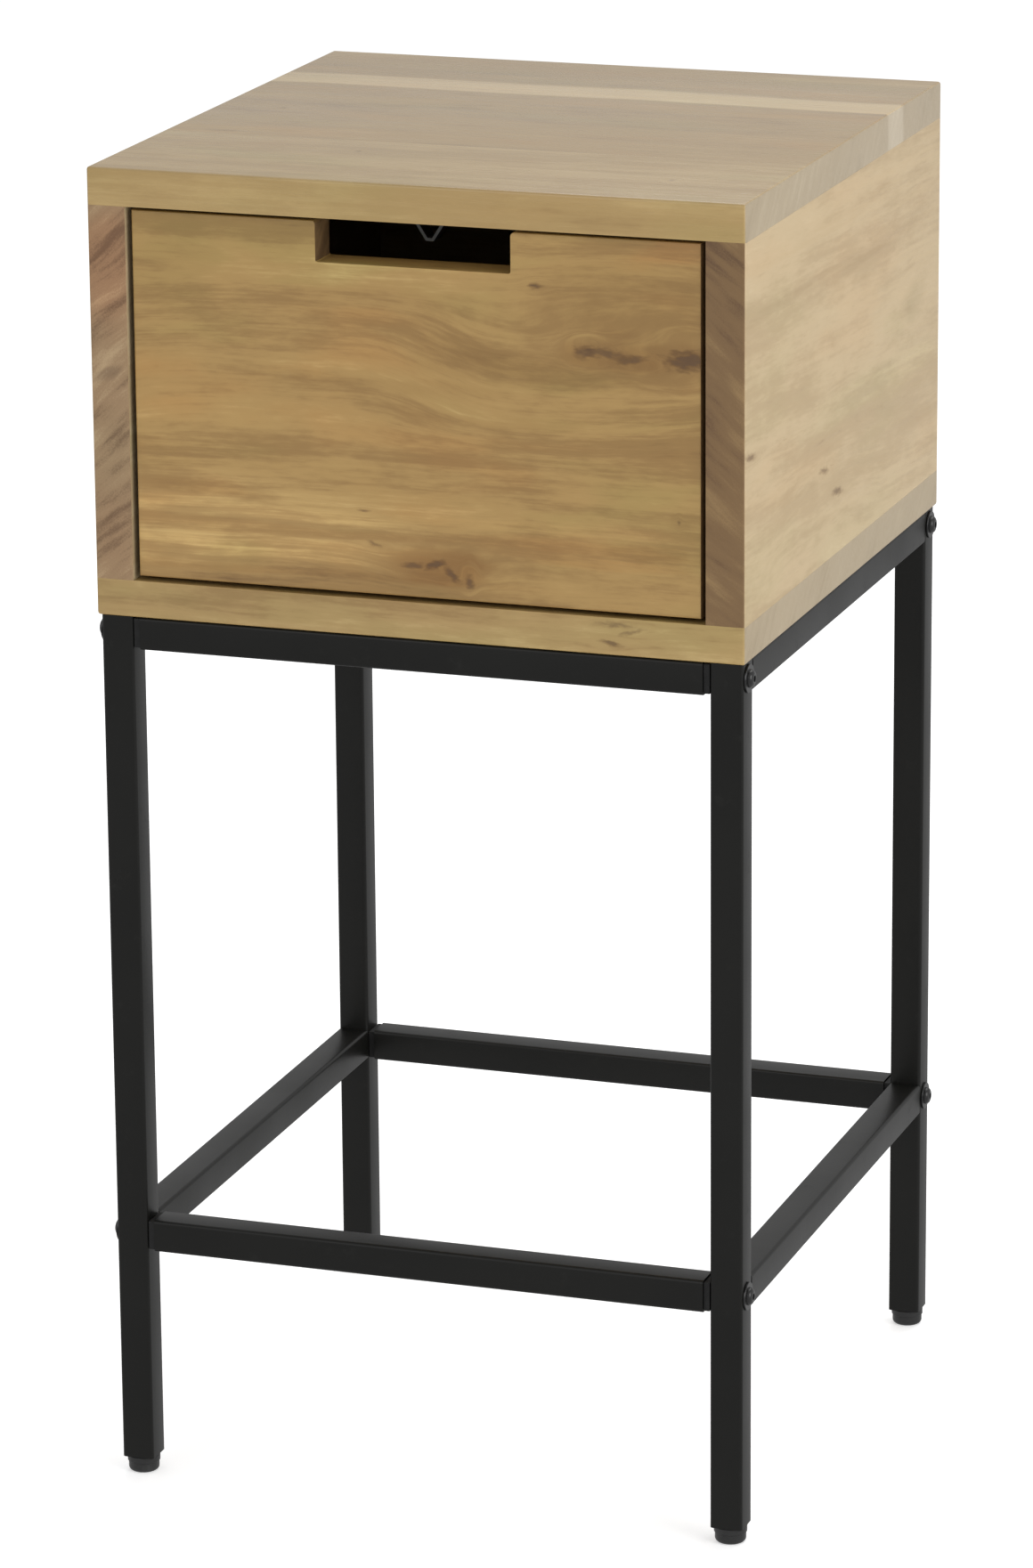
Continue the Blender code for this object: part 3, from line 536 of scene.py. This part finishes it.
def turned(name, profile, sides, material, where, angle=35.0):
    """A piece turned about Z from (radius, height) points, then put in place by a matrix."""
    bm = bmesh.new()
    rows = []
    for radius, height in profile:
        if radius <= 1e-7:
            rows.append([bm.verts.new((0.0, 0.0, height))])
            continue
        rows.append([
            bm.verts.new((radius * math.cos(2 * math.pi * i / sides),
                          radius * math.sin(2 * math.pi * i / sides), height))
            for i in range(sides)
        ])
    for upper, lower in zip(rows, rows[1:]):
        for i in range(sides):
            j = (i + 1) % sides
            if len(upper) == 1:
                bm.faces.new((upper[0], lower[i], lower[j]))
            elif len(lower) == 1:
                bm.faces.new((upper[i], lower[0], upper[j]))
            else:
                bm.faces.new((upper[i], lower[i], lower[j], upper[j]))
    bm.transform(where)
    return finish_mesh(name, bm, material, angle)


def stand_for(obj, node):
    """The finished piece takes the place of its CAD node and moves with its body."""
    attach(obj, NODES[node]["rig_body"])
    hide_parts(node)
    return obj


def sizes(node):
    low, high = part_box(node)
    return Vector(low), Vector(high)


# Box boards: full blocks with softly rounded outer edges, closed up at their joints
top_low, top_high = sizes("top_board")
bottom_low, bottom_high = sizes("bottom_board")
ROUND = 0.0015
GLUE_LINE = 0.00004    # between a side panel and the board above or below it
top = rounded_block(
    "top_board_finished", top_low, top_high, ROUND, TOP_WOOD,
    lambda mid, along: abs(along.z) > 0.9 or mid.z > 0,
)
stand_for(top, "top_board")
bottom = rounded_block(
    "bottom_board_finished", bottom_low, bottom_high, ROUND, BOTTOM_WOOD,
    lambda mid, along: abs(along.z) > 0.9 or mid.z < 0,
)
stand_for(bottom, "bottom_board")
for side, name, material in ((-1, "left", SIDE_LEFT_WOOD), (1, "right", SIDE_RIGHT_WOOD)):
    low, high = sizes(f"side_panel_{name}")
    low.z, high.z = bottom_high.z + GLUE_LINE, top_low.z - GLUE_LINE
    panel = rounded_block(
        f"side_panel_{name}_finished", low, high, ROUND, material,
        lambda mid, along, s=side: abs(along.z) > 0.9 and mid.x * s > 0,
    )
    stand_for(panel, f"side_panel_{name}")

# Steel tubes: the corners of the tube are rolled, and the welded joints are closed
TUBE_ROUND = 0.0018
WELD_REACH = 0.00028   # a side rail's end runs this far towards the leg it is welded to


def lengthwise(axis):
    return lambda mid, along: abs(along[axis]) > 0.9


for x in ("left", "right"):
    for y in ("front", "back"):
        node = f"leg_{y}_{x}"
        low, high = sizes(node)
        leg = rounded_block(node + "_finished", low, high, TUBE_ROUND, BLACK_COAT, lengthwise(2))
        stand_for(leg, node)
    for level in ("upper", "lower"):
        node = f"{level}_side_rail_{x}"
        low, high = sizes(node)
        low.y -= WELD_REACH
        high.y += WELD_REACH
        rail = rounded_block(node + "_finished", low, high, TUBE_ROUND, BLACK_COAT, lengthwise(1))
        stand_for(rail, node)
for level in ("upper", "lower"):
    for y in ("front", "back"):
        node = f"{level}_cross_rail_{y}"
        low, high = sizes(node)
        rail = rounded_block(node + "_finished", low, high, TUBE_ROUND, BLACK_COAT, lengthwise(0))
        stand_for(rail, node)

# Cross bolts: domed heads with a round-bottomed socket, and their washers
SOCKET_DEPTH = 0.0013
HEAD_FLAT = 0.0021     # radius of the flat round the socket
HEAD_RIM = 0.0002      # height of the head's straight rim
WASHER_EDGE = 0.0002   # chamfer of a washer's outer edge
for level in ("upper", "lower"):
    for y in ("front", "back"):
        for x, sign in (("left", -1), ("right", 1)):
            where = f"{level}_{y}_{x}"
            bolt_low, bolt_high = sizes("cross_bolt_" + where)
            washer_low, washer_high = sizes("cross_washer_" + where)
            centre = (bolt_low + bolt_high) / 2
            face = washer_high.x if sign > 0 else washer_low.x
            tip = bolt_high.x if sign > 0 else bolt_low.x
            rise = abs(tip - face)
            place = Matrix.Translation((face, centre.y, centre.z)) @ Matrix.Rotation(
                sign * math.pi / 2, 4, "Y"
            )
            radius = (bolt_high.z - bolt_low.z) / 2
            dome = [(0.0, rise - SOCKET_DEPTH), (0.0012, rise - SOCKET_DEPTH),
                    (0.0015, rise - SOCKET_DEPTH + 0.0001), (0.00165, rise - 0.0001),
                    (0.0019, rise), (HEAD_FLAT + 0.0003, rise)]
            for i in range(1, 9):
                angle = math.radians(90 * i / 8)
                dome.append((HEAD_FLAT + (radius - HEAD_FLAT) * math.sin(angle),
                             HEAD_RIM + (rise - HEAD_RIM) * math.cos(angle)))
            dome += [(radius, 0.0), (0.0, 0.0)]
            bolt = turned(f"cross_bolt_{where}_finished", dome, 40, BLACK_BOLT, place)
            stand_for(bolt, "cross_bolt_" + where)
            outer = (washer_high.z - washer_low.z) / 2
            thick = washer_high.x - washer_low.x
            disc = [(0.0, 0.0), (outer - WASHER_EDGE, 0.0), (outer, -WASHER_EDGE),
                    (outer, -thick), (0.0, -thick)]
            washer = turned(f"cross_washer_{where}_finished", disc, 48, BLACK_BOLT, place)
            stand_for(washer, "cross_washer_" + where)

# Feet: moulded glides with a rounded lower edge
for y in ("front", "back"):
    for x in ("left", "right"):
        node = f"foot_{y}_{x}"
        low, high = sizes(node)
        centre = (low + high) / 2
        radius = (high.x - low.x) / 2
        profile = [(0.0, 0.0087), (radius - 0.0003, 0.0087), (radius, 0.0084), (radius, 0.0056),
                   (radius - 0.0005, 0.0052), (radius - 0.0005, 0.0022)]
        for i in range(1, 6):
            angle = math.radians(90 * i / 5)
            profile.append((radius - 0.0005 - 0.0022 * (1 - math.cos(angle)),
                            0.0022 * (1 - math.sin(angle))))
        profile.append((0.0, 0.0))
        foot = turned(f"foot_{y}_{x}_finished", profile, 56, GLIDE,
                      Matrix.Translation((centre.x, centre.y, 0.0)))
        stand_for(foot, node)

# Pieces that keep their CAD shape
LOOKS = {
    "drawer_front": DRAWER_WOOD, "drawer_side": INNER_WOOD, "drawer_back": CROSS_WOOD,
    "drawer_bottom": PLY_WOOD, "back_panel": BACK_WOOD, "runner": INNER_WOOD,
    "stop_": ZINC, "box_screw": ZINC, "cross_insert": PLUG,
}
for name, node in NODES.items():
    for start, material in LOOKS.items():
        if name.startswith(start):
            node.data.materials.clear()
            node.data.materials.append(material)

# ------------------------------------------------------------------ floor, light and camera

ground = bmesh.new()
bmesh.ops.create_grid(ground, x_segments=1, y_segments=1, size=30.0)
mesh = bpy.data.meshes.new("floor")
ground.to_mesh(mesh)
ground.free()
floor = bpy.data.objects.new("floor", mesh)
bpy.context.scene.collection.objects.link(floor)
paint = Graph("floor paint")
paint.shader.inputs["Base Color"].default_value = (0.86, 0.86, 0.86, 1.0)
paint.shader.inputs["Roughness"].default_value = 0.9
paint.shader.inputs["Specular IOR Level"].default_value = 0.1
paint.shader.inputs["Emission Color"].default_value = (1.0, 1.0, 1.0, 1.0)
paint.shader.inputs["Emission Strength"].default_value = 0.45
mesh.materials.append(paint.material)
floor.visible_glossy = False

world = bpy.data.worlds.new("studio")
world.use_nodes = True
world.node_tree.nodes["Background"].inputs["Color"].default_value = (1.0, 1.0, 1.0, 1.0)
world.node_tree.nodes["Background"].inputs["Strength"].default_value = 0.60
bpy.context.scene.world = world
bpy.context.scene.view_settings.view_transform = "Standard"


def softbox(name, place, target, size, power, tint=(1.0, 1.0, 1.0)):
    light = bpy.data.lights.new(name, "AREA")
    light.shape = "RECTANGLE"
    light.size, light.size_y = size
    light.energy = power
    light.color = tint
    obj = bpy.data.objects.new(name, light)
    obj.location = place
    obj.rotation_euler = (Vector(target) - Vector(place)).to_track_quat("-Z", "Y").to_euler()
    bpy.context.scene.collection.objects.link(obj)
    return obj


softbox("key light", (3.2, -1.1, 1.5), (0.0, 0.0, 0.45), (2.2, 2.2), 52.0)
softbox("front light", (-0.9, -3.4, 1.9), (0.0, 0.0, 0.5), (1.6, 1.6), 14.0)
softbox("overhead light", (0.2, 1.4, 3.0), (0.0, 0.0, 0.5), (2.4, 2.4), 42.0)

# The camera looks at a point inside the table from this far away
AZIMUTH, ELEVATION, ROLL = (math.radians(v) for v in (19.03, 15.98, -0.47))
TARGET = Vector((-0.0084, 0.0, 0.3393))
DISTANCE = 3.5187
camera_data = bpy.data.cameras.new("camera")
camera_data.sensor_fit = "AUTO"
camera_data.sensor_width = 36.0
camera_data.lens = 154.35
camera = bpy.data.objects.new("camera", camera_data)
away = Vector((
    math.sin(AZIMUTH) * math.cos(ELEVATION),
    -math.cos(AZIMUTH) * math.cos(ELEVATION),
    math.sin(ELEVATION),
))
level = Vector((math.cos(AZIMUTH), math.sin(AZIMUTH), 0.0))
across = level * math.cos(ROLL) + away.cross(level) * math.sin(ROLL)
camera_axes = Matrix((across, away.cross(across), away)).transposed()
camera.matrix_world = Matrix.Translation(TARGET + away * DISTANCE) @ camera_axes.to_4x4()
camera_data.clip_end = 200.0
bpy.context.scene.collection.objects.link(camera)
bpy.context.scene.camera = camera
